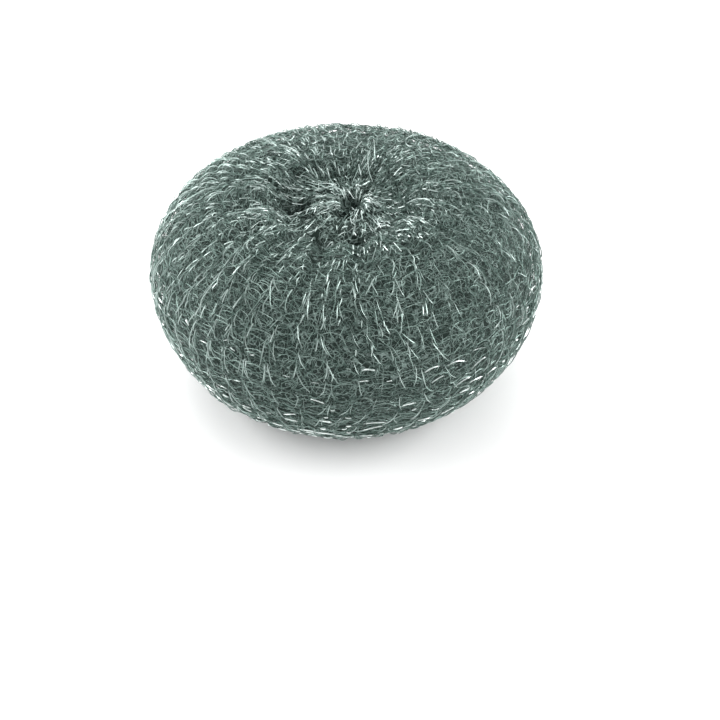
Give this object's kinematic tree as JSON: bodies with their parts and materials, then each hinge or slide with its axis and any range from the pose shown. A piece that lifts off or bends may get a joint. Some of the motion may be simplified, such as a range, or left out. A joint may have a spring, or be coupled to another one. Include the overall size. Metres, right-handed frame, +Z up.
{
  "type": "metal scourer",
  "caption": "Round puffy scouring pad of knitted galvanised wire, gathered into a puckered dimple on top and flat underneath.",
  "frame": {"origin": "centre of the flat that the pad rests on", "axes": "+Z up through the gathered dimple, +X to the right and +Y away from the viewer of the picture"},
  "size_m": [0.08, 0.08, 0.043],
  "materials": {
    "galvanised_wire": "dull galvanised wire, satin with bright glints"
  },
  "bodies": {
    "root": {"knitted_pad": "galvanised_wire"}
  },
  "joints": []
}
